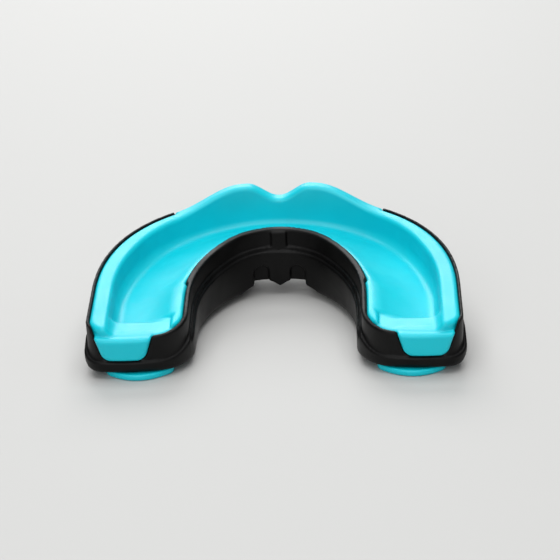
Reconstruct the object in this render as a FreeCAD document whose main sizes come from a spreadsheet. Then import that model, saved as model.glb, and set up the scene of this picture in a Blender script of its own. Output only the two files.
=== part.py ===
"""Boxing mouthguard: a black rubber frame, a soft gel liner and two gel bite pads.

The row frame has X across the jaw, +Y towards the front teeth and +Z up. The origin is
at the middle of the base. The frame and the liner are drawn in their own occlusal frame,
which is tilted about X, because the guard rises towards the front teeth. The bite pads
are drawn straight on the surface that the guard rests on.
"""

import math
import os

import FreeCAD
import Part
import Sketcher

# Driving dimensions, in millimetres and degrees.
DIMS = [
    ("labial_radius", 33.0),  # outer wall at the front, and half the width over the arms
    ("arch_centre_y", -9.9),  # centre of the labial arc, where the arms become straight
    ("arm_end_y", -24.0),  # rear faces of the two arms
    ("lingual_side_radius", 30.0),  # tongue-side wall beside the molars
    ("lingual_tip_radius", 10.8),  # tongue-side wall behind the front teeth
    ("lingual_tip_rise", 12.0),  # how far the tip arc's centre lies in front of the arch's
    ("tilt_angle", 7.3),  # slope of the bite plane towards the front
    ("bite_plane_z", 8.5),  # height of the belt at the origin
    ("belt_depth", 14.0),  # lower half of the frame, before its base is cut level
    ("belt_proud", 0.6),  # how far the lower half stands out of the labial wall
    ("shelf_proud", 1.0),  # how far it stands out of the tongue-side wall
    ("wall_height", 3.9),  # frame wall above the belt
    ("labial_wall", 1.1),  # frame wall thicknesses
    ("lingual_wall", 1.2),
    ("end_wall", 1.2),
    ("seat_depth", 1.7),  # liner seat below the belt
    ("bond_gap", 0.03),  # bond line between rubber and gel
    ("outer_corner", 3.2),  # upright corners at the arms' ends
    ("inner_corner", 5.0),
    ("front_start_y", 15.0),  # lies between the tongue-side wall and the front wall
    ("front_half_width", 19.4),  # half the width of the liner's front flange
    ("front_step", 0.9),  # where the rubber ends and the flange begins, above the belt
    ("flange_depth", 3.6),
    ("lobe_height", 7.7),  # two lobes at the lip, either side of the frenum notch
    ("lobe_x", 6.4),
    ("lobe_radius", 4.0),
    ("lobe_slope", 25.0),
    ("notch_height", 5.2),
    ("channel_wall", 4.2),  # labial wall with its gel, beside the tooth channel
    ("ridge_wall", 2.9),  # tongue-side wall with its gel ridge
    ("channel_spread", 1.2),  # both walls of the channel are this much thinner at the front
    ("channel_floor", -0.5),
    ("channel_end_y", -18.6),
    ("channel_corner", 4.0),
    ("apron_height", 2.7),  # step at each arm's end, above the belt
    ("apron_end_y", -21.6),
    ("window_x", 25.9),  # window in each rear face, filled by the liner's tongue
    ("window_top_width", 9.9),
    ("window_low_width", 7.6),
    ("pad_proud", 1.2),  # bite pads below the frame
    ("pad_height", 2.5),
    ("pad_outer_inset", 3.0),
    ("pad_inner_inset", 2.6),
    ("pad_start_y", -20.4),
    ("pad_end_bulge", 2.7),
    ("pad_outer_turn", 52.0),  # how far each pad runs round the arch
    ("pad_inner_turn", 30.0),
    ("pad_nose_radius", 5.4),
    ("vent_half_width", 6.2),  # breathing channel under the front teeth
    ("vent_height", 3.4),
    ("vent_outer_height", 5.2),
    ("vent_start_y", 8.0),
    ("rib_width", 2.4),  # rib down the middle of the tongue side
    ("rib_proud", 0.7),
    ("far_out", 40.0),  # reach of a cut that runs clear of the part
]

doc = FreeCAD.newDocument("mouthguard")
sheet = doc.addObject("Spreadsheet::Sheet", "dims")
for row, (alias, value) in enumerate(DIMS, start=1):
    sheet.set(f"A{row}", alias)
    sheet.set(f"B{row}", str(value))
    sheet.setAlias(f"B{row}", alias)
doc.recompute()


def value(expression):
    """The number that an expression on the sheet gives."""
    return float(sheet.evalExpression(expression))


def dim(alias):
    return f"dims.{alias}"


def origin_plane(body, role):
    return next(f for f in body.Origin.OriginFeatures if f.Role == role)


def new_sketch(body, name, role, offset="0"):
    """A sketch on one of the body's own origin planes, moved along its normal by a sheet expression."""
    sketch = body.newObject("Sketcher::SketchObject", name)
    sketch.AttachmentSupport = [(origin_plane(body, role), "")]
    sketch.MapMode = "FlatFace"
    sketch.setExpression("AttachmentOffset.Base.z", offset)
    doc.recompute()
    return sketch


def constrain(sketch, name, expression, kind, *where):
    """A driving constraint whose value is bound to the sheet."""
    index = sketch.addConstraint(Sketcher.Constraint(kind, *where, value(expression)))
    sketch.renameConstraint(index, name)
    sketch.setExpression(f"Constraints.{name}", expression)


def fix_point(sketch, name, geometry, point, x, y):
    constrain(sketch, name + "_x", x, "DistanceX", -1, 1, geometry, point)
    constrain(sketch, name + "_y", y, "DistanceY", -1, 1, geometry, point)


def vector(x, y):
    return FreeCAD.Vector(x, y, 0)


def line(sketch, start, end):
    return sketch.addGeometry(Part.LineSegment(vector(*start), vector(*end)), False)


def arc(sketch, centre, radius, start, end):
    """An arc from start to end, anticlockwise, in degrees."""
    circle = Part.Circle(vector(*centre), FreeCAD.Vector(0, 0, 1), radius)
    return sketch.addGeometry(
        Part.ArcOfCircle(circle, math.radians(start), math.radians(end)), False
    )


def polygon(sketch, points, prefix=""):
    """Straight edges through points given as pairs of sheet expressions."""
    numbers = [(value(x), value(y)) for x, y in points]
    count = len(points)
    edges = [line(sketch, numbers[i], numbers[(i + 1) % count]) for i in range(count)]
    for i, edge in enumerate(edges):
        sketch.addConstraint(
            Sketcher.Constraint("Coincident", edge, 2, edges[(i + 1) % count], 1)
        )
        fix_point(sketch, f"{prefix}corner{i}", edge, 1, *points[i])
    return edges


def arch_outline(sketch, outer, inner, rear, outer_corner, inner_corner, spread="0"):
    """The U of the dental arch. outer and inner are how far it stands out of the labial and
    tongue-side walls, rear is how far it stops short of the arms' ends, the next two are the
    radii of its corners, and spread thins both walls towards the front. All are sheet
    expressions."""
    labial = f"dims.labial_radius + ({outer})"
    side = f"dims.lingual_side_radius - ({inner})"
    tip = f"dims.lingual_tip_radius - ({inner})"
    end = f"dims.arm_end_y + ({rear})"
    front_y = f"dims.arch_centre_y + ({spread})"
    side_y = f"dims.arch_centre_y - ({spread})"
    nose_y = f"{side_y} + dims.lingual_tip_rise"
    centre_y, back_y, tip_y = value(front_y), value(side_y), value(nose_y)
    rise = value("dims.lingual_tip_rise")
    end_y = value(end)
    big, mid, small = value(labial), value(side), value(tip)
    wide, tight = value(outer_corner), value(inner_corner)
    shift = math.sqrt((mid - small) ** 2 - rise**2)
    turn = math.degrees(math.atan2(rise, shift))
    gap = mid - shift
    right = line(sketch, (big, end_y + wide), (big, centre_y))
    front = arc(sketch, (0, centre_y), big, 0, 180)
    left = line(sketch, (-big, centre_y), (-big, end_y + wide))
    wide_l = arc(sketch, (wide - big, end_y + wide), wide, 180, 270)
    end_l = line(sketch, (wide - big, end_y), (-gap - tight, end_y))
    tight_l = arc(sketch, (-gap - tight, end_y + tight), tight, 270, 360)
    arm_l = line(sketch, (-gap, end_y + tight), (-gap, back_y))
    side_l = arc(sketch, (shift, back_y), mid, 180 - turn, 180)
    nose = arc(sketch, (0, tip_y), small, turn, 180 - turn)
    side_r = arc(sketch, (-shift, back_y), mid, 0, turn)
    arm_r = line(sketch, (gap, back_y), (gap, end_y + tight))
    tight_r = arc(sketch, (gap + tight, end_y + tight), tight, 180, 270)
    end_r = line(sketch, (gap + tight, end_y), (big - wide, end_y))
    wide_r = arc(sketch, (big - wide, end_y + wide), wide, 270, 360)
    link = Sketcher.Constraint
    joins = [
        (right, 2, front, 1),
        (front, 2, left, 1),
        (left, 2, wide_l, 1),
        (wide_l, 2, end_l, 1),
        (end_l, 2, tight_l, 1),
        (tight_l, 2, arm_l, 1),
        (arm_l, 2, side_l, 2),
        (side_l, 1, nose, 2),
        (nose, 1, side_r, 2),
        (side_r, 1, arm_r, 1),
        (arm_r, 2, tight_r, 1),
        (tight_r, 2, end_r, 1),
        (end_r, 2, wide_r, 1),
        (wide_r, 2, right, 1),
    ]
    sketch.addConstraint([link("Tangent", *join) for join in joins])
    sketch.addConstraint([link("Vertical", edge) for edge in (right, left, arm_l, arm_r)])
    sketch.addConstraint([link("Horizontal", edge) for edge in (end_l, end_r)])
    sketch.addConstraint([link("PointOnObject", edge, 3, -2) for edge in (front, nose)])
    sketch.addConstraint(link("Equal", side_l, side_r))
    sketch.addConstraint(link("Equal", wide_l, wide_r))
    sketch.addConstraint(link("Equal", tight_l, tight_r))
    constrain(sketch, "labial", labial, "Radius", front)
    constrain(sketch, "side", side, "Radius", side_l)
    constrain(sketch, "tip", tip, "Radius", nose)
    constrain(sketch, "outer_corner", outer_corner, "Radius", wide_l)
    constrain(sketch, "inner_corner", inner_corner, "Radius", tight_l)
    constrain(sketch, "front_y", front_y, "DistanceY", -1, 1, front, 3)
    constrain(sketch, "side_y", side_y, "DistanceY", -1, 1, side_l, 3)
    constrain(sketch, "nose_y", nose_y, "DistanceY", -1, 1, nose, 3)
    constrain(sketch, "end_l", end, "DistanceY", -1, 1, end_l, 1)
    constrain(sketch, "end_r", end, "DistanceY", -1, 1, end_r, 1)


def pad(body, sketch, length, reverse=False, midplane=False):
    feature = body.newObject("PartDesign::Pad", sketch.Name + "_pad")
    feature.Profile = sketch
    feature.setExpression("Length", length)
    feature.Reversed = reverse
    feature.Midplane = midplane
    doc.recompute()
    return feature


def pocket(body, sketch, length, reverse=False, midplane=False):
    """A pocket that has to take something away."""
    before = body.Shape.Volume
    feature = body.newObject("PartDesign::Pocket", sketch.Name + "_pocket")
    feature.Profile = sketch
    feature.setExpression("Length", length)
    feature.Reversed = reverse
    feature.Midplane = midplane
    doc.recompute()
    removed = before - body.Shape.Volume
    if removed < 1e-3:
        raise RuntimeError(f"{feature.Name} cut nothing")
    print(f"{feature.Name} removed {removed:.1f} mm3")
    return feature


def tilted_body(name):
    """A body drawn in the occlusal frame."""
    body = doc.addObject("PartDesign::Body", name)
    axis = FreeCAD.Vector(1, 0, 0)
    body.Placement = FreeCAD.Placement(
        FreeCAD.Vector(0, 0, value("dims.bite_plane_z")),
        FreeCAD.Rotation(axis, value("dims.tilt_angle")),
    )
    body.setExpression("Placement.Rotation.Angle", dim("tilt_angle"))
    body.setExpression("Placement.Base.z", dim("bite_plane_z"))
    doc.recompute()
    return body


def window_points(side, shrink, top):
    """The trapezium of one rear window. It widens upwards and side is 1 or -1."""
    span = "(dims.window_top_width - dims.window_low_width) / (dims.wall_height + dims.seat_depth)"
    low = f"(dims.window_low_width / 2 - ({shrink}))"
    high = f"({low} + ({top} + dims.seat_depth) / 2 * {span})"
    return [
        (f"{side} * (dims.window_x - {low})", f"-dims.seat_depth + ({shrink})"),
        (f"{side} * (dims.window_x + {low})", f"-dims.seat_depth + ({shrink})"),
        (f"{side} * (dims.window_x + {high})", top),
        (f"{side} * (dims.window_x - {high})", top),
    ]


def rectangle_points(x, low, high):
    return [(f"-({x})", low), (x, low), (x, high), (f"-({x})", high)]


def frame_body():
    """The rubber frame before the pads' recesses and the vent are cut."""
    body = tilted_body("frame_body")
    sketch = new_sketch(body, "belt", "XY_Plane")
    corners = dim("outer_corner"), dim("inner_corner")
    arch_outline(sketch, dim("belt_proud"), dim("shelf_proud"), "0", *corners)
    pad(body, sketch, dim("belt_depth"), reverse=True)
    sketch = new_sketch(body, "rib", "XY_Plane", f"-{dim('belt_depth')}")
    tip_y = "dims.arch_centre_y + dims.lingual_tip_rise + dims.lingual_tip_radius"
    front = f"{tip_y} - dims.shelf_proud - dims.rib_proud"
    polygon(
        sketch,
        [
            ("-dims.rib_width / 2", front),
            ("dims.rib_width / 2", front),
            ("dims.rib_width / 2", f"{tip_y} + dims.lingual_wall / 2"),
            ("-dims.rib_width / 2", f"{tip_y} + dims.lingual_wall / 2"),
        ],
    )
    pad(body, sketch, "dims.belt_depth + dims.wall_height - dims.front_step")
    sketch = new_sketch(body, "wall", "XY_Plane")
    arch_outline(sketch, "0", "0", "0", *corners)
    pad(body, sketch, dim("wall_height"))
    sketch = new_sketch(body, "seat", "XY_Plane", f"-{dim('seat_depth')}")
    arch_outline(
        sketch, "-dims.labial_wall", "-dims.lingual_wall", dim("end_wall"),
        "dims.outer_corner - dims.labial_wall", "dims.inner_corner - dims.lingual_wall",
    )
    pocket(body, sketch, dim("far_out"), reverse=True)
    sketch = new_sketch(body, "windows", "XZ_Plane", f"-{dim('arm_end_y')}")
    for side in (1, -1):
        polygon(sketch, window_points(side, "0", "dims.wall_height + dims.pad_proud"), f"side{side + 1}_")
    pocket(body, sketch, "dims.end_wall + dims.pad_proud")
    sketch = new_sketch(body, "front_opening", "XZ_Plane", f"-{dim('front_start_y')}")
    polygon(
        sketch,
        rectangle_points(dim("front_half_width"), dim("front_step"), "2 * dims.wall_height"),
    )
    pocket(body, sketch, dim("far_out"))
    sketch = new_sketch(body, "base_level", "YZ_Plane")
    level = "(dims.pad_proud - dims.bite_plane_z - ({y}) * sin(dims.tilt_angle)) / cos(dims.tilt_angle)"
    rear, ahead = "-dims.far_out", dim("far_out")
    polygon(
        sketch,
        [
            (rear, level.format(y=rear)),
            (rear, rear),
            (ahead, rear),
            (ahead, level.format(y=ahead)),
        ],
    )
    pocket(body, sketch, "3 * dims.far_out", midplane=True)
    return body


def flange_outline(sketch):
    """The liner's front flange in plan: a band between two arcs, cut off at both sides."""
    half = "dims.front_half_width - dims.bond_gap"
    outer, inner = dim("labial_radius"), "dims.labial_radius - dims.flange_depth"
    centre_y = value("dims.arch_centre_y")
    big, small, x = value(outer), value(inner), value(half)
    turn_out = math.degrees(math.acos(x / big))
    turn_in = math.degrees(math.acos(x / small))
    y_out = centre_y + math.sqrt(big**2 - x**2)
    y_in = centre_y + math.sqrt(small**2 - x**2)
    front = arc(sketch, (0, centre_y), big, turn_out, 180 - turn_out)
    left = line(sketch, (-x, y_out), (-x, y_in))
    back = arc(sketch, (0, centre_y), small, turn_in, 180 - turn_in)
    right = line(sketch, (x, y_in), (x, y_out))
    link = Sketcher.Constraint
    sketch.addConstraint(
        [
            link("Coincident", front, 2, left, 1),
            link("Coincident", left, 2, back, 2),
            link("Coincident", back, 1, right, 1),
            link("Coincident", right, 2, front, 1),
            link("Vertical", left),
            link("Vertical", right),
            link("Coincident", front, 3, back, 3),
            link("PointOnObject", front, 3, -2),
        ]
    )
    constrain(sketch, "outer", outer, "Radius", front)
    constrain(sketch, "inner", inner, "Radius", back)
    constrain(sketch, "centre_y", dim("arch_centre_y"), "DistanceY", -1, 1, front, 3)
    constrain(sketch, "left_x", f"-({half})", "DistanceX", -1, 1, left, 1)
    constrain(sketch, "right_x", half, "DistanceX", -1, 1, right, 1)


def lip_outline(sketch):
    """The space above the liner's front edge: two round lobes with a notch between them."""
    radius, slope = dim("lobe_radius"), dim("lobe_slope")
    lobe_z = "dims.lobe_height - dims.lobe_radius"
    drop = f"(dims.notch_height - ({lobe_z}))"
    notch = f"((dims.lobe_x ^ 2 + {drop} ^ 2 - {radius} ^ 2) / (2 * ({radius} - {drop})))"
    reach = f"({radius} + {notch})"
    meet_x = f"(dims.lobe_x - {radius} * dims.lobe_x / {reach})"
    meet_z = f"({lobe_z} + {radius} * (dims.notch_height + {notch} - ({lobe_z})) / {reach})"
    leave_x = f"(dims.lobe_x + {radius} * sin({slope}))"
    leave_z = f"({lobe_z} + {radius} * cos({slope}))"
    foot_x = f"({leave_x} + ({leave_z} - dims.wall_height) / tan({slope}))"
    edge, top = "(dims.front_half_width + 1)", "(2 * dims.lobe_height)"
    right = [(meet_x, meet_z), (leave_x, leave_z), (foot_x, dim("wall_height")),
             (edge, dim("wall_height")), (edge, top)]
    left = [(f"-{x}", z) for x, z in reversed(right)]
    points = right + left
    curved = {0: ("lobe_r", 1), len(points) - 2: ("lobe_l", -1), len(points) - 1: ("notch", 0)}
    edges = []
    for i, start in enumerate(points):
        end = points[(i + 1) % len(points)]
        ends = [(value(x), value(z)) for x, z in (start, end)]
        if i not in curved:
            edges.append((line(sketch, *ends), 1, 2))
            continue
        name, side = curved[i]
        if side:
            centre, size = (side * value("dims.lobe_x"), value(lobe_z)), value(radius)
        else:
            centre, size = (0, value(f"dims.notch_height + {notch}")), value(notch)
        turns = [math.degrees(math.atan2(z - centre[1], x - centre[0])) for x, z in ends]
        if side:
            edge_arc, first, last = arc(sketch, centre, size, turns[1], turns[0]), 2, 1
        else:
            edge_arc, first, last = arc(sketch, centre, size, turns[0], turns[1]), 1, 2
        constrain(sketch, name, radius if side else notch, "Radius", edge_arc)
        edges.append((edge_arc, first, last))
    for i, (edge_id, first, last) in enumerate(edges):
        following, start_point, _ = edges[(i + 1) % len(edges)]
        sketch.addConstraint(
            Sketcher.Constraint("Coincident", edge_id, last, following, start_point)
        )
        fix_point(sketch, f"lip{i}", edge_id, first, *points[i])


def liner_body():
    """The gel liner: a tray for the upper teeth with a raised lip at the front."""
    body = tilted_body("liner_body")
    gap = dim("bond_gap")
    sketch = new_sketch(body, "tray", "XY_Plane", f"-dims.seat_depth + {gap}")
    arch_outline(
        sketch, f"-dims.labial_wall - {gap}", f"-dims.lingual_wall - {gap}",
        f"dims.end_wall + {gap}", f"dims.outer_corner - dims.labial_wall - {gap}",
        f"dims.inner_corner - dims.lingual_wall - {gap}",
    )
    pad(body, sketch, f"dims.seat_depth - {gap} + dims.wall_height")
    sketch = new_sketch(body, "flange", "XY_Plane", f"dims.front_step + {gap}")
    flange_outline(sketch)
    pad(body, sketch, "dims.lobe_height - dims.front_step")
    sketch = new_sketch(body, "lip", "XZ_Plane")
    lip_outline(sketch)
    pocket(body, sketch, dim("far_out"))
    sketch = new_sketch(body, "channel", "XY_Plane", dim("channel_floor"))
    rear = "dims.channel_end_y - dims.arm_end_y"
    corners = dim("channel_corner"), dim("channel_corner")
    spread = dim("channel_spread")
    arch_outline(sketch, "-dims.channel_wall", "-dims.ridge_wall", rear, *corners, spread)
    pocket(body, sketch, dim("far_out"), reverse=True)
    sketch = new_sketch(body, "aprons", "XY_Plane", dim("apron_height"))
    arch_outline(sketch, "-dims.channel_wall", "-dims.ridge_wall", "-dims.inner_corner", *corners)
    pocket(body, sketch, dim("far_out"), reverse=True)
    sketch = new_sketch(body, "wall_ends", "XY_Plane", dim("apron_height"))
    polygon(sketch, rectangle_points(dim("far_out"), "-dims.far_out", dim("apron_end_y")))
    pocket(body, sketch, dim("far_out"), reverse=True)
    sketch = new_sketch(body, "tongues", "XZ_Plane", f"-{dim('arm_end_y')}")
    for side in (1, -1):
        polygon(sketch, window_points(side, gap, dim("apron_height")), f"side{side + 1}_")
    pad(body, sketch, "dims.end_wall + 2 * dims.bond_gap", reverse=True)
    return body


def pad_outline(sketch, grow):
    """The kidney of the left bite pad, grown by an expression."""
    outer = f"(dims.labial_radius - dims.pad_outer_inset + {grow})"
    shift = (
        "sqrt((dims.lingual_side_radius - dims.lingual_tip_radius) ^ 2 - dims.lingual_tip_rise ^ 2)"
    )
    inner = f"(dims.lingual_side_radius + dims.pad_inner_inset - {grow})"
    gap_x = f"({inner} - {shift})"
    rear = f"(dims.pad_start_y - {grow})"
    chord = f"({outer} - {gap_x})"
    bulge = dim("pad_end_bulge")
    points = [
        (f"-{outer}", rear),
        (f"-{outer}", dim("arch_centre_y")),
        (
            f"-{outer} * cos(dims.pad_outer_turn)",
            f"dims.arch_centre_y + {outer} * sin(dims.pad_outer_turn)",
        ),
        (
            f"{shift} - {inner} * cos(dims.pad_inner_turn)",
            f"dims.arch_centre_y + {inner} * sin(dims.pad_inner_turn)",
        ),
        (f"-{gap_x}", dim("arch_centre_y")),
        (f"-{gap_x}", rear),
    ]
    radii = {
        1: (outer, True),
        2: (f"dims.pad_nose_radius + {grow}", True),
        3: (inner, False),
        5: (f"(({chord} / 2) ^ 2 + {bulge} ^ 2) / (2 * {bulge})", True),
    }
    edges = []
    for i, point in enumerate(points):
        start = [value(e) for e in point]
        end = [value(e) for e in points[(i + 1) % len(points)]]
        if i not in radii:
            edges.append((line(sketch, start, end), 1, 2))
            continue
        radius, clockwise = radii[i]
        edges.append(arc_between(sketch, start, end, value(radius), clockwise))
        constrain(sketch, f"radius{i}", radius, "Radius", edges[-1][0])
    for i, (edge_id, first, last) in enumerate(edges):
        following, start_point, _ = edges[(i + 1) % len(edges)]
        sketch.addConstraint(
            Sketcher.Constraint("Coincident", edge_id, last, following, start_point)
        )
        fix_point(sketch, f"pad{i}", edge_id, first, *points[i])


def arc_between(sketch, start, end, radius, clockwise):
    """The short arc of a radius from start to end, with the numbers of its two end points."""
    dx, dy = end[0] - start[0], end[1] - start[1]
    chord = math.hypot(dx, dy)
    lift = math.sqrt(radius**2 - (chord / 2) ** 2)
    side = 1 if clockwise else -1
    centre = (
        (start[0] + end[0]) / 2 + side * lift * dy / chord,
        (start[1] + end[1]) / 2 - side * lift * dx / chord,
    )
    turns = [math.degrees(math.atan2(p[1] - centre[1], p[0] - centre[0])) for p in (start, end)]
    if clockwise:
        turns.reverse()
    if turns[1] < turns[0]:
        turns[1] += 360
    edge = arc(sketch, centre, radius, *turns)
    return (edge, 2, 1) if clockwise else (edge, 1, 2)


def pad_body(name, grow, bottom, top):
    body = doc.addObject("PartDesign::Body", name)
    sketch = new_sketch(body, name + "_outline", "XY_Plane", bottom)
    pad_outline(sketch, grow)
    pad(body, sketch, f"({top}) - ({bottom})")
    return body


def mirrored(source, name):
    """The other side's copy of a left-hand object."""
    mirror = doc.addObject("Part::Mirroring", name)
    mirror.Source = source
    mirror.Normal = FreeCAD.Vector(1, 0, 0)
    doc.recompute()
    return mirror


def vent_body():
    """The space of the breathing channel, which opens upwards towards the lips."""
    body = doc.addObject("PartDesign::Body", "vent_body")
    sketch = new_sketch(body, "vent_side", "YZ_Plane")
    polygon(
        sketch,
        [
            (dim("vent_start_y"), "-dims.pad_height"),
            (dim("far_out"), "-dims.pad_height"),
            (dim("far_out"), "dims.vent_outer_height + dims.pad_proud"),
            (dim("labial_radius") + " + dims.arch_centre_y", dim("vent_outer_height")),
            (dim("vent_start_y"), dim("vent_height")),
        ],
    )
    pad(body, sketch, "2 * dims.vent_half_width", midplane=True)
    return body


def cut(base, tool, name):
    feature = doc.addObject("Part::Cut", name)
    feature.Base, feature.Tool = base, tool
    doc.recompute()
    if base.Shape.Volume - feature.Shape.Volume < 1e-3:
        raise RuntimeError(f"{name} cut nothing")
    return feature


def build():
    """Makes the four pieces and returns them by their labels."""
    left_pad = pad_body("pad_body", "0", "0", dim("pad_height"))
    recess = pad_body(
        "recess_body", dim("bond_gap"), "-dims.pad_height", "dims.pad_height + dims.bond_gap"
    )
    frame = cut(frame_body(), recess, "frame_left_recess")
    frame = cut(frame, mirrored(recess, "recess_right"), "frame_both_recesses")
    frame = cut(frame, vent_body(), "frame_with_vent")
    pieces = {
        "rubber_frame": frame,
        "gel_liner": liner_body(),
        "bite_pad_left": left_pad,
        "bite_pad_right": mirrored(left_pad, "pad_right"),
    }
    for label, piece in pieces.items():
        piece.Label = label
    return pieces


def check_and_write(pieces):
    doc.recompute()
    for thing in doc.Objects:
        if "Invalid" in thing.State or "Error" in thing.State:
            raise RuntimeError(f"{thing.Name} failed: {thing.State}")
    for piece in pieces.values():
        shape = piece.Shape
        if shape.isNull() or not shape.isValid() or not shape.Solids:
            raise RuntimeError(f"{piece.Label} has no valid solid")
    os.makedirs("parts", exist_ok=True)
    for label, piece in pieces.items():
        shape = piece.Shape
        shape.exportStep(f"parts/{label}.step")
        box = shape.BoundBox
        print(
            f"{label}: {len(shape.Solids)} solid, {shape.Volume:.0f} mm3,"
            f" x {box.XMin:.2f}..{box.XMax:.2f}, y {box.YMin:.2f}..{box.YMax:.2f},"
            f" z {box.ZMin:.2f}..{box.ZMax:.2f}"
        )


check_and_write(build())
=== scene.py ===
"""Looks for the boxing mouthguard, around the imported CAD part.

Each piece is a solid described by a distance field in millimetres: negative inside, positive
outside. Fields are joined and cut with rounded edges, like moulded rubber, and are then
turned into a mesh whose points lie on the zero surface. Heights are measured either straight
up (z) or from the bite plane (rise), which slopes up towards the front teeth.
"""

import math

import bpy
import numpy as np
from mathutils import Matrix, Vector


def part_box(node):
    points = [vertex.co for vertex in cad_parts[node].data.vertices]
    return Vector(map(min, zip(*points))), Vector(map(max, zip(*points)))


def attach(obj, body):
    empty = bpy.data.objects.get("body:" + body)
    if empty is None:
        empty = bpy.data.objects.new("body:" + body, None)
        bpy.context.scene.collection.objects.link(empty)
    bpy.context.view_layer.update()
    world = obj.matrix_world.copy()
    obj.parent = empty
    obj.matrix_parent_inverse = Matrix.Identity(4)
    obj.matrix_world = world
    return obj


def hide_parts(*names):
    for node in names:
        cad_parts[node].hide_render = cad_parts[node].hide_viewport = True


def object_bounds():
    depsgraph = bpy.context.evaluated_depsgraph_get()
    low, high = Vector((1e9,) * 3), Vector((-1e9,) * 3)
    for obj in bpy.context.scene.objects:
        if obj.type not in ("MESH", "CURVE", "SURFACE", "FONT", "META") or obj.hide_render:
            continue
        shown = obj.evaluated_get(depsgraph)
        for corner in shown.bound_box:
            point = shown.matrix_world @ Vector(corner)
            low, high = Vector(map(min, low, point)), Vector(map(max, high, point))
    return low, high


MM = 0.001
# How far past its CAD box a piece is searched for, in millimetres.
MARGIN = 1.7
FRAME_CELL = 0.3
GEL_CELL = 0.26
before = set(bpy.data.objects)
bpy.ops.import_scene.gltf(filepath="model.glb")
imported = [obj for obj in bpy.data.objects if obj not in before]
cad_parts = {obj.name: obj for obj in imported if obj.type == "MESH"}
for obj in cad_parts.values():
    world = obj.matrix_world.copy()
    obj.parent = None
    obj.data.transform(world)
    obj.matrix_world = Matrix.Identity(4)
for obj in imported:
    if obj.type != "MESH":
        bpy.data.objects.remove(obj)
cad_bounds = [list(corner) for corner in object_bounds()]


def node_box(node):
    """A node's lowest and highest corner, in millimetres."""
    low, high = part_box(node)
    return [c / MM for c in low], [c / MM for c in high]


FRAME_LOW, FRAME_HIGH = node_box("rubber_frame")
LINER_LOW, LINER_HIGH = node_box("gel_liner")

# The arch in plan, in millimetres.
LABIAL_INSET = 1.2
LABIAL_X = FRAME_HIGH[0] - LABIAL_INSET
LABIAL_Y = 32.7
LABIAL_FULLNESS = 2.3
ARCH_Y = -9.9
ARM_END = -23.8
SIDE_RADIUS = 30.0
TIP_RADIUS = 10.8
TIP_RISE = 12.0
SIDE_SHIFT = math.sqrt((SIDE_RADIUS - TIP_RADIUS) ** 2 - TIP_RISE**2)
SIDE_TURN = math.atan2(TIP_RISE, SIDE_SHIFT)
TIP_Y = ARCH_Y + TIP_RISE + TIP_RADIUS
OUTER_CORNER = 3.2
INNER_CORNER = 5.0
SEAT_CORNER_INSET = 0.5
CROWN_DEPTH = 0.8
CROWN_HALF = 7.0
CROWN_LIMIT = 2.0

# The bite plane.
TILT = math.radians(7.3)
BITE_Z = 8.5

# Heights above the bite plane, unless they are called z.
WALL_RISE = 4.1
WALL_GROWTH = 0.02
RIDGE_RISE = 3.4
NOTCH_RISE = 5.8
LOBE_RISE = 8.45
APRON_RISE = 2.45
FLANGE_RISE = 0.9
FLOOR_RISE = -0.5
SEAT_RISE = -1.95
BASE_Z = 1.2
PAD_Z = 2.5
VENT_Z = 2.35
VENT_FRONT_Z = 4.4

# How far edges dip or drop towards the arms' ends, and where along the arm.
DIP_START = -15.5
DIP_END = -23.0
BELT_DIP = 2.2
RIM_DIP = 0.8
NOTCH_START = -21.8
NOTCH_END = -23.3
NOTCH_DROP = 1.5

# Belt and shelf: how far they stand out, and how far the shelf steps down.
BELT_PROUD = 0.15
HEEL_PROUD = 0.5
HEEL_START = -9.0
HEEL_END = -21.0
SHELF_PROUD = 0.9
SHELF_FADE = 0.5
SHELF_STEP = 0.8
LEDGE = 0.4

# Walls of the rubber.
LABIAL_WALL = 0.55
END_WALL = 1.05
RIM_WALL = 0.8
RIM_GAIN = 0.45
STOUTNESS = 0.12
STOUT_TOP = WALL_RISE - 0.5
STOUT_REACH = 6.0
BOND = 0.03

# Openings at the front of the lips and in the arms' rear faces.
FLANGE_X = 19.4
FLANGE_START = 5.0
FLANGE_DEPTH = 3.0
WINDOW_X = 25.9
WINDOW_LOW = 7.2
WINDOW_SLOPE = 0.31
WINDOW_CORNER = 1.3
WINDOW_DEPTH = 3.0

# Lobes of the labial wall.
LOBE_X = 6.5
LOBE_FLAT = 0.5
LOBE_OUTER = 13.0
LOBE_INNER = 6.0
LOBE_POWER = 1.15

# Tooth channel.
CHANNEL_WALL = 3.7
CHANNEL_THINNING = 1.0
FLANK_LEAN = 0.06
RIDGE_WALL = 2.9
RIDGE_THINNING = 1.5
RIDGE_SHOULDER = 0.4
RIDGE_START = -6.5
RIDGE_END = -20.0
FLOOR_SLOPE = 1.35
CHANNEL_END = -17.4
RAMP_SLOPE = 0.5
RAMP_STRETCH = 1.12

# Breathing channel, and the rib and the blind arches above it.
VENT_HALF = 6.5
VENT_START = 8.0
VENT_LENGTH = 17.0
VENT_FLARE = 0.45
VENT_CREST = 2.2
VENT_ARCH = 0.05
NUB_DEPTH = 0.9
NUB_HALF = 1.6
RIB_HALF = 1.45
RIB_LOW = -1.4
BLIND_X = 3.4
BLIND_RISE = -4.9
BLIND_RADIUS = 1.4

# Bite pads.
PAD_X = 23.8
PAD_HALF = 6.2
PAD_REAR = -20.4
PAD_BULGE = 3.3
PAD_TURN = math.radians(42)
PAD_CORNER = 3.6
PAD_LABIAL = 3.0
PAD_LINGUAL = 2.6
PAD_ROOT_INSET = 2.0


# ---------------------------------------------------------------- fields


def meet(a, b, radius):
    """Where two solids overlap, with the edge between them rounded."""
    deep_a, deep_b = a + radius, b + radius
    inside = np.minimum(np.maximum(deep_a, deep_b), 0)
    return inside + np.hypot(np.maximum(deep_a, 0), np.maximum(deep_b, 0)) - radius


def join(a, b, radius):
    """Two solids as one, with a fillet in the corner between them."""
    return -meet(-a, -b, radius)


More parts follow.
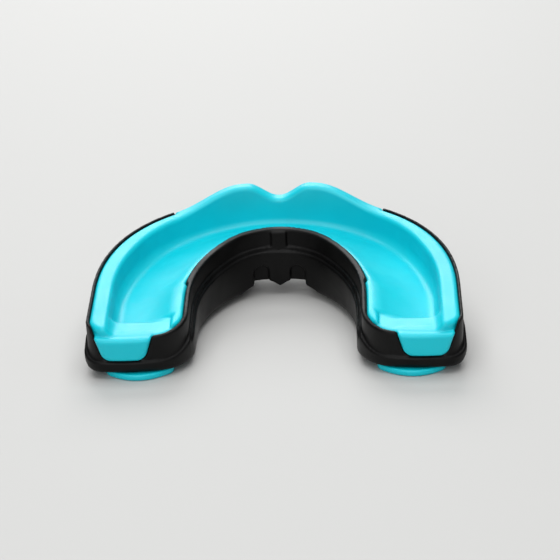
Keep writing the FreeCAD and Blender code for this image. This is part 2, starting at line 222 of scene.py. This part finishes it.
def carve(a, b, radius):
    """Solid a without solid b, with the edge rounded."""
    return meet(a, -b, radius)


def overlap(*solids):
    """Where several solids overlap, with sharp edges."""
    return np.maximum.reduce(np.broadcast_arrays(*solids))


def step(value, start, end):
    """0 before start and 1 after end, with a smooth change between them."""
    t = np.clip((value - start) / (end - start), 0, 1)
    return t * t * (3 - 2 * t)


def swell(t):
    """1 at t = 0, falling to 0 at t = 1 and beyond, like half a wave."""
    return 0.5 + 0.5 * np.cos(math.pi * np.clip(t, 0, 1))


def bite_axes(x, y, z):
    """A point as (x, how far ahead, how far above the bite plane)."""
    up = z - BITE_Z
    ahead = y * math.cos(TILT) + up * math.sin(TILT)
    return x, ahead, up * math.cos(TILT) - y * math.sin(TILT)


def labial_wall(x, ahead):
    """How far a point lies outside the wall behind the lips and cheeks, a rounded U."""
    front = np.maximum(ahead - ARCH_Y, 0) * (LABIAL_X / LABIAL_Y)
    power = LABIAL_FULLNESS
    return (np.abs(x) ** power + front**power) ** (1 / power) - LABIAL_X


def lingual_wall(x, ahead):
    """How far a point lies outside the wall beside the tongue."""
    side = np.abs(x) + SIDE_SHIFT
    front = ahead - ARCH_Y
    beside = SIDE_RADIUS - np.hypot(side, np.maximum(front, 0))
    behind = TIP_RADIUS - np.hypot(x, front - TIP_RISE)
    return np.where(np.arctan2(front, side) > SIDE_TURN, behind, beside)


def arm_end(x, ahead):
    """How far a point lies behind the arms' gently crowned rear faces."""
    crown = CROWN_DEPTH * ((np.abs(x) - WINDOW_X) / CROWN_HALF) ** 2
    return ARM_END + np.minimum(crown, CROWN_LIMIT) - ahead


def arch(labial, lingual, end, inset=0.0):
    """The U in plan, with round corners at the arms' ends."""
    outer = meet(labial, end, OUTER_CORNER - inset)
    inner = meet(lingual, end, INNER_CORNER - inset)
    return np.maximum(outer, inner)


def rim_width(ahead):
    """Thickness of the rubber beside the tongue: thin on the arms, stout at the front."""
    return RIM_WALL + RIM_GAIN * step(ahead, RIDGE_START, RIDGE_START + 1.0)


def seat(labial, lingual, end, rise, ahead, shrink):
    """The hollow in the rubber that the liner fills; the walls round it get stouter downwards."""
    stout = STOUTNESS * np.clip(STOUT_TOP - rise, 0, STOUT_REACH)
    inner = lingual + rim_width(ahead) + stout
    plan = arch(labial + LABIAL_WALL + stout, inner, end + END_WALL, SEAT_CORNER_INSET)
    return meet(plan + shrink, SEAT_RISE + shrink - rise, 0.5)


def window(x, ahead, rise, shrink):
    """The trapezium in each rear face, which the liner's tongue fills."""
    half = WINDOW_LOW / 2 + WINDOW_SLOPE * (rise - SEAT_RISE)
    across = (np.abs(np.abs(x) - WINDOW_X) - half) / math.hypot(1, WINDOW_SLOPE)
    outline = meet(across + shrink, SEAT_RISE + shrink - rise, WINDOW_CORNER)
    return np.maximum(outline, ahead - (ARM_END + WINDOW_DEPTH))


def flange(x, labial, ahead, rise, shrink):
    """Where the liner comes through to the front of the lips."""
    outline = meet(np.abs(x) - FLANGE_X + shrink, FLANGE_RISE + shrink - rise, 0.1)
    return overlap(outline, -(labial + FLANGE_DEPTH), FLANGE_START - ahead)


def wall_top(ahead):
    """Height of the walls beside the cheeks."""
    return WALL_RISE + WALL_GROWTH * (ahead - ARM_END)


def lip_top(x, ahead):
    """Height of the labial wall: level over the arms, two lobes and a notch at the front."""
    size = np.abs(x)
    wall = wall_top(ahead)
    fall = swell((size - LOBE_X - LOBE_FLAT) / LOBE_OUTER) ** LOBE_POWER
    outer = wall + (LOBE_RISE - wall) * fall
    inner = NOTCH_RISE + (LOBE_RISE - NOTCH_RISE) * swell((LOBE_X - LOBE_FLAT - size) / LOBE_INNER)
    return np.where(size > LOBE_X, outer, inner)


def vent(x, y, z):
    """The breathing channel, open below, with a nub along the middle of its roof."""
    size = np.abs(x)
    roof = VENT_Z + (VENT_FRONT_Z - VENT_Z) * (y - VENT_START) / VENT_LENGTH
    roof = roof - VENT_ARCH * (size - VENT_CREST) ** 2
    roof = roof - NUB_DEPTH * np.clip(1 - size / NUB_HALF, 0, 1)
    sides = size - VENT_HALF - VENT_FLARE * (VENT_Z - z)
    return np.maximum(meet(sides, z - roof, 0.4), VENT_START - y)


def pad_plan(x, y):
    """Both kidney-shaped bite pads, seen from below."""
    size = np.abs(x)
    across = np.clip((size - PAD_X) / PAD_HALF, -1, 1)
    lean = np.sqrt(1 + (2 * PAD_BULGE * across / PAD_HALF) ** 2)
    rear = (PAD_REAR - PAD_BULGE * (1 - across**2) - y) / lean
    front = (y - ARCH_Y) * math.cos(PAD_TURN) - size * math.sin(PAD_TURN)
    outer = meet(labial_wall(x, y) + PAD_LABIAL, front, PAD_CORNER)
    inner = meet(lingual_wall(x, y) + PAD_LINGUAL, front, PAD_CORNER)
    return meet(np.maximum(outer, inner), rear, 0.6)


def pad_root(x, y, z, shrink):
    """The part of the pads that is sunk into the rubber."""
    return np.maximum(pad_plan(x, y) + PAD_ROOT_INSET + shrink, z + shrink - PAD_Z)


def bite_pad(x, y, z):
    """Both pads: a foot below the rubber, and a narrower root in it."""
    foot = meet(pad_plan(x, y), z - BASE_Z + BOND, 0.15)
    return meet(np.minimum(foot, pad_root(x, y, z, BOND)), -z, 0.5)


def rubber_frame(x, y, z):
    """The black outer frame."""
    spot = (x, y, z)
    x, ahead, rise = bite_axes(x, y, z)
    labial, lingual = labial_wall(x, ahead), lingual_wall(x, ahead)
    end = arm_end(x, ahead)
    near_end = step(-ahead, -DIP_START, -DIP_END)
    # Lower half: a belt round the outside and a shelf of two steps round the inside.
    proud = BELT_PROUD + HEEL_PROUD * step(-ahead, -HEEL_START, -HEEL_END)
    belt = -BELT_DIP * near_end
    shelf_proud = SHELF_PROUD - SHELF_FADE * near_end
    lower = arch(labial - proud, lingual - shelf_proud, end)
    lower = meet(lower, BASE_Z - z, 1.0)
    lower = np.maximum(lower, meet(labial - proud, BASE_Z - z, 2.6))
    shelf = meet(lower, rise - belt, 0.2)
    shelf = np.maximum(shelf, lingual - shelf_proud / 2)
    lower = meet(lower, rise - belt + SHELF_STEP * (1 - near_end), 0.25)
    body = join(lower, shelf, 0.1)
    # Upper walls.
    labial_top = wall_top(ahead) - NOTCH_DROP * step(-ahead, -NOTCH_START, -NOTCH_END)
    lingual_top = RIDGE_RISE - RIM_DIP * near_end
    upper = arch(labial, lingual, end + LEDGE)
    upper = meet(upper, rise - np.where(labial > lingual, labial_top, lingual_top), 0.3)
    body = join(body, np.maximum(upper, belt - 2 - rise), 0.12)
    # Rib behind the front teeth, flush with the shelf.
    rib = meet(np.abs(x) - RIB_HALF, TIP_Y - SHELF_PROUD / 2 - ahead, 0.2)
    rib = meet(rib, rise - RIDGE_RISE + 0.3, 0.3)
    body = join(body, overlap(rib, ahead - TIP_Y - 0.5, RIB_LOW - rise), 0.12)
    # Shallow blind arches either side of the middle, below the shelf.
    hollow = np.hypot(np.abs(x) - BLIND_X, np.maximum(rise - BLIND_RISE, 0)) - BLIND_RADIUS
    hollow = overlap(hollow, ahead - TIP_Y + 0.4, TIP_Y - 4 - ahead)
    body = carve(body, hollow, 0.25)
    # Seat for the liner, the windows and the opening at the front.
    body = carve(body, seat(labial, lingual, end, rise, ahead, 0.0), 0.2)
    body = carve(body, window(x, ahead, rise, 0.0), 0.25)
    body = carve(body, flange(x, labial, ahead, rise, 0.0), 0.1)
    body = carve(body, vent(*spot), 0.45)
    return carve(body, pad_root(*spot, 0.0), 0.15)


def gel_liner(x, y, z):
    """The cyan tooth channel."""
    x, ahead, rise = bite_axes(x, y, z)
    labial, lingual = labial_wall(x, ahead), lingual_wall(x, ahead)
    end = arm_end(x, ahead)
    front = step(ahead, RIDGE_START - 2, RIDGE_START + 6)
    tray = seat(labial, lingual, end, rise, ahead, BOND)
    tray = np.minimum(tray, np.maximum(flange(x, labial, ahead, rise, BOND), labial))
    top = np.where(labial > lingual, lip_top(x, ahead), RIDGE_RISE - 0.1 - 0.35 * front)
    tray = meet(tray, rise - top, 0.8)
    # Tooth channel: a steep flank beside the cheek, and a floor that climbs to the ridge.
    flank_wall = CHANNEL_WALL - CHANNEL_THINNING * step(ahead, 2, 18)
    flank = labial + flank_wall + FLANK_LEAN * (WALL_RISE - rise)
    ridge_wall = RIDGE_WALL - RIDGE_THINNING * front - RIDGE_SHOULDER
    inner = lingual + ridge_wall + FLOOR_SLOPE * (RIDGE_RISE - rise)
    inner = inner / math.hypot(1, FLOOR_SLOPE)
    channel = meet(inner, FLOOR_RISE - rise, 4.0)
    ramp_face = CHANNEL_END - ahead + RAMP_SLOPE * (APRON_RISE - rise)
    channel = meet(channel, ramp_face / RAMP_STRETCH, 1.5)
    # Apron over each arm's end, past the end of the ridge.
    above = APRON_RISE - rise
    apron = overlap(ahead - CHANNEL_END - 1, lingual + RIDGE_WALL, above)
    apron = np.minimum(apron, np.maximum(ahead - RIDGE_END, above))
    channel = meet(join(channel, apron, 0.9), flank, 1.9)
    tray = carve(tray, channel, 0.7)
    tongue = np.maximum(window(x, ahead, rise, BOND), rise - APRON_RISE)
    return join(tray, meet(tongue, end - 0.1, 0.7), 0.2)


# ---------------------------------------------------------------- meshing


def gradient(field, points):
    """The field's slope at each point."""
    reach = 0.02
    slopes = []
    for axis in range(3):
        shift = np.zeros(3)
        shift[axis] = reach
        ahead, behind = points + shift, points - shift
        slopes.append(field(*ahead.T) - field(*behind.T))
    return np.stack(slopes, axis=1) / (2 * reach)


def settle(field, points):
    """Moves points onto the zero surface."""
    slope = gradient(field, points)
    size = np.maximum((slope**2).sum(axis=1), 0.3)
    move = slope * (field(*points.T) / size)[:, None]
    length = np.linalg.norm(move, axis=1)[:, None]
    return points - move * np.minimum(1, 0.3 / np.maximum(length, 1e-9))


def net(field, low, high, cell):
    """Surface net of a field: one point in each cell that the surface crosses."""
    axes = [np.arange(start - MARGIN, end + MARGIN, cell) for start, end in zip(low, high)]
    grid = field(*np.meshgrid(*axes, indexing="ij"))
    inside = grid < 0
    count = np.array(inside.shape) - 1
    total = np.zeros(count)
    sums = np.zeros((*count, 3))
    corners = [(i, j, k) for i in (0, 1) for j in (0, 1) for k in (0, 1)]

    def corner(array, offset):
        return array[tuple(slice(o, o + n) for o, n in zip(offset, count))]

    for axis in range(3):
        for start in corners:
            if start[axis]:
                continue
            end = tuple(1 if a == axis else c for a, c in enumerate(start))
            a, b = corner(grid, start), corner(grid, end)
            crosses = (a < 0) != (b < 0)
            share = np.where(crosses, a / np.where(crosses, a - b, 1), 0)
            total += crosses
            for a_axis in range(3):
                place = share if a_axis == axis else start[a_axis]
                sums[..., a_axis] += np.where(crosses, place, 0)
    used = total > 0
    number = np.full(count, -1)
    number[used] = np.arange(used.sum())
    where = np.argwhere(used)
    origin = np.array([places[0] for places in axes])
    points = origin + cell * (where + sums[used] / total[used][:, None])
    quads = []
    for axis in range(3):
        b, c = [a for a in range(3) if a != axis]
        near = [slice(1, -1)] * 3
        near[axis] = slice(0, -1)
        far = list(near)
        far[axis] = slice(1, None)
        a0, a1 = inside[tuple(near)], inside[tuple(far)]
        for flips, state in ((False, a0 & ~a1), (True, ~a0 & a1)):
            places = np.argwhere(state)
            places[:, b] += 1
            places[:, c] += 1
            ring = []
            for db, dc in ((-1, -1), (0, -1), (0, 0), (-1, 0)):
                cells = places.copy()
                cells[:, b] += db
                cells[:, c] += dc
                ring.append(number[tuple(cells.T)])
            quad = np.stack(ring, axis=1)
            if flips != (axis == 1):
                quad = quad[:, ::-1]
            quads.append(quad)
    return points, np.concatenate(quads)


def relax(points, quads):
    """Each point halfway to the middle of its neighbours."""
    total = np.zeros(len(points))
    sums = np.zeros_like(points)
    for turn in range(4):
        a, b = quads[:, turn], quads[:, (turn + 1) % 4]
        for here, there in ((a, b), (b, a)):
            for axis in range(3):
                sums[:, axis] += np.bincount(here, points[there, axis], len(points))
            total += np.bincount(here, minlength=len(points))
    return 0.5 * points + 0.5 * sums / total[:, None]


def build(name, field, low, high, cell, material, slot, replaced):
    """A smooth mesh of a field, standing for one CAD node."""
    points, quads = net(field, low, high, cell)
    for _ in range(3):
        points = settle(field, relax(points, quads))
    for _ in range(2):
        points = settle(field, points)
    mesh = bpy.data.meshes.new(name)
    mesh.from_pydata((points * MM).tolist(), [], quads.tolist())
    mesh.shade_smooth()
    mesh.materials.append(material)
    piece = bpy.data.objects.new(name, mesh)
    bpy.context.collection.objects.link(piece)
    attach(piece, "root")
    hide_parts(replaced)
    print(f"{name}: {len(points)} points, {len(quads)} quads")
    return piece


# ---------------------------------------------------------------- materials


def new_material(name):
    material = bpy.data.materials.new(name)
    material.use_nodes = True
    nodes, links = material.node_tree.nodes, material.node_tree.links
    return material, nodes, links, nodes["Principled BSDF"]


def noise(nodes, links, scale, detail, source):
    node = nodes.new("ShaderNodeTexNoise")
    node.inputs["Scale"].default_value = scale
    node.inputs["Detail"].default_value = detail
    links.new(source, node.inputs["Vector"])
    return node.outputs["Fac"]


def ramp(nodes, links, value, low, high):
    """Spreads a value between two colours or two numbers."""
    node = nodes.new("ShaderNodeMapRange")
    node.inputs["From Min"].default_value = 0.3
    node.inputs["From Max"].default_value = 0.7
    node.inputs["To Min"].default_value = low
    node.inputs["To Max"].default_value = high
    links.new(value, node.inputs["Value"])
    return node.outputs["Result"]


def bump(nodes, links, height, distance, strength, normal=None):
    node = nodes.new("ShaderNodeBump")
    node.inputs["Distance"].default_value = distance
    node.inputs["Strength"].default_value = strength
    links.new(height, node.inputs["Height"])
    if normal:
        links.new(normal, node.inputs["Normal"])
    return node.outputs["Normal"]


def mix_colours(nodes, links, factor, first, second):
    node = nodes.new("ShaderNodeMix")
    node.data_type = "RGBA"
    node.inputs["A"].default_value = (*first, 1)
    node.inputs["B"].default_value = (*second, 1)
    links.new(factor, node.inputs["Factor"])
    return node.outputs["Result"]


def gel_material():
    """Soft cyan gel: satin, faintly cloudy and a little translucent."""
    material, nodes, links, shader = new_material("gel")
    place = nodes.new("ShaderNodeTexCoord").outputs["Object"]
    cloud = noise(nodes, links, 90, 3, place)
    grain = noise(nodes, links, 2600, 2, place)
    wave = noise(nodes, links, 260, 2, place)
    factor = ramp(nodes, links, cloud, 0, 1)
    colour = mix_colours(nodes, links, factor, (0.0, 0.51, 0.61), (0.0, 0.57, 0.67))
    links.new(colour, shader.inputs["Base Color"])
    links.new(ramp(nodes, links, wave, 0.36, 0.46), shader.inputs["Roughness"])
    soft = bump(nodes, links, wave, 0.00012, 0.35)
    links.new(bump(nodes, links, grain, 0.00002, 0.35, soft), shader.inputs["Normal"])
    shader.inputs["Subsurface Weight"].default_value = 0.25
    shader.inputs["Subsurface Radius"].default_value = (0.2, 0.9, 1.0)
    shader.inputs["Subsurface Scale"].default_value = 0.0015
    shader.inputs["Specular IOR Level"].default_value = 0.4
    return material


def rubber_material():
    """Black moulded rubber with a fine satin grain."""
    material, nodes, links, shader = new_material("frame_rubber")
    place = nodes.new("ShaderNodeTexCoord").outputs["Object"]
    patch = noise(nodes, links, 220, 4, place)
    grain = noise(nodes, links, 4200, 3, place)
    factor = ramp(nodes, links, patch, 0, 1)
    colour = mix_colours(nodes, links, factor, (0.002, 0.002, 0.002), (0.005, 0.005, 0.005))
    links.new(colour, shader.inputs["Base Color"])
    links.new(ramp(nodes, links, patch, 0.36, 0.5), shader.inputs["Roughness"])
    soft = bump(nodes, links, patch, 0.00008, 0.3)
    links.new(bump(nodes, links, grain, 0.00003, 0.5, soft), shader.inputs["Normal"])
    shader.inputs["Specular IOR Level"].default_value = 0.14
    return material


def floor_material():
    """Plain pale paper."""
    material, _, _, shader = new_material("pale_floor")
    shader.inputs["Base Color"].default_value = (0.5, 0.5, 0.49, 1)
    shader.inputs["Roughness"].default_value = 0.75
    return material


# ---------------------------------------------------------------- scene


def add_camera():
    """Looks along the arms from behind and above, at the whole guard."""
    azimuth, elevation, roll = (math.radians(a) for a in (2.2, 22.7, -1.9))
    distance = 0.383
    target = Vector((0.24 * MM, 6.1 * MM, 6 * MM))
    back = Vector(
        (
            math.sin(azimuth) * math.cos(elevation),
            -math.cos(azimuth) * math.cos(elevation),
            math.sin(elevation),
        )
    )
    data = bpy.data.cameras.new("camera")
    data.lens = 134.1
    data.clip_start = 0.01
    camera = bpy.data.objects.new("camera", data)
    turn = (-back).to_track_quat("-Z", "Y").to_matrix() @ Matrix.Rotation(roll, 3, "Z")
    camera.matrix_world = Matrix.Translation(target + back * distance) @ turn.to_4x4()
    bpy.context.collection.objects.link(camera)
    bpy.context.scene.camera = camera


def add_light(name, place, size, power, target=(0, 0, 0.01)):
    data = bpy.data.lights.new(name, "AREA")
    data.size = size
    data.energy = power
    light = bpy.data.objects.new(name, data)
    aim = Vector(target) - Vector(place)
    turn = aim.to_track_quat("-Z", "Y").to_matrix().to_4x4()
    light.matrix_world = Matrix.Translation(place) @ turn
    bpy.context.collection.objects.link(light)


def add_floor():
    mesh = bpy.data.meshes.new("floor")
    reach = 3.0
    corners = [(-reach, -reach, 0), (reach, -reach, 0), (reach, reach, 0), (-reach, reach, 0)]
    mesh.from_pydata(corners, [], [(0, 1, 2, 3)])
    mesh.materials.append(floor_material())
    floor = bpy.data.objects.new("floor", mesh)
    floor.location.z = cad_bounds[0][2]
    bpy.context.collection.objects.link(floor)


def add_studio():
    bpy.context.scene.view_settings.view_transform = "Standard"
    add_floor()
    add_light("softbox_above", (0.0, -0.05, 0.6), 0.6, 3.5)
    add_light("softbox_front", (-0.1, -0.6, 0.3), 0.5, 2.1)
    add_light("softbox_behind", (-0.05, 0.42, 0.34), 0.35, 1.9)
    world = bpy.data.worlds.new("studio")
    world.use_nodes = True
    world.node_tree.nodes["Background"].inputs["Color"].default_value = (0.9, 0.92, 0.95, 1)
    world.node_tree.nodes["Background"].inputs["Strength"].default_value = 0.2
    bpy.context.scene.world = world


add_camera()
add_studio()
gel = gel_material()
rubber = rubber_material()
frame_box = (FRAME_LOW, FRAME_HIGH)
liner_box = (LINER_LOW, LINER_HIGH)
build("frame_shell", rubber_frame, *frame_box, FRAME_CELL, rubber, "frame_rubber", "rubber_frame")
build("liner_tray", gel_liner, *liner_box, GEL_CELL, gel, "gel", "gel_liner")
for side in ("left", "right"):
    pad_low, pad_high = node_box("bite_pad_" + side)
    build(f"pad_{side}", bite_pad, pad_low, pad_high, GEL_CELL, gel, "gel", "bite_pad_" + side)
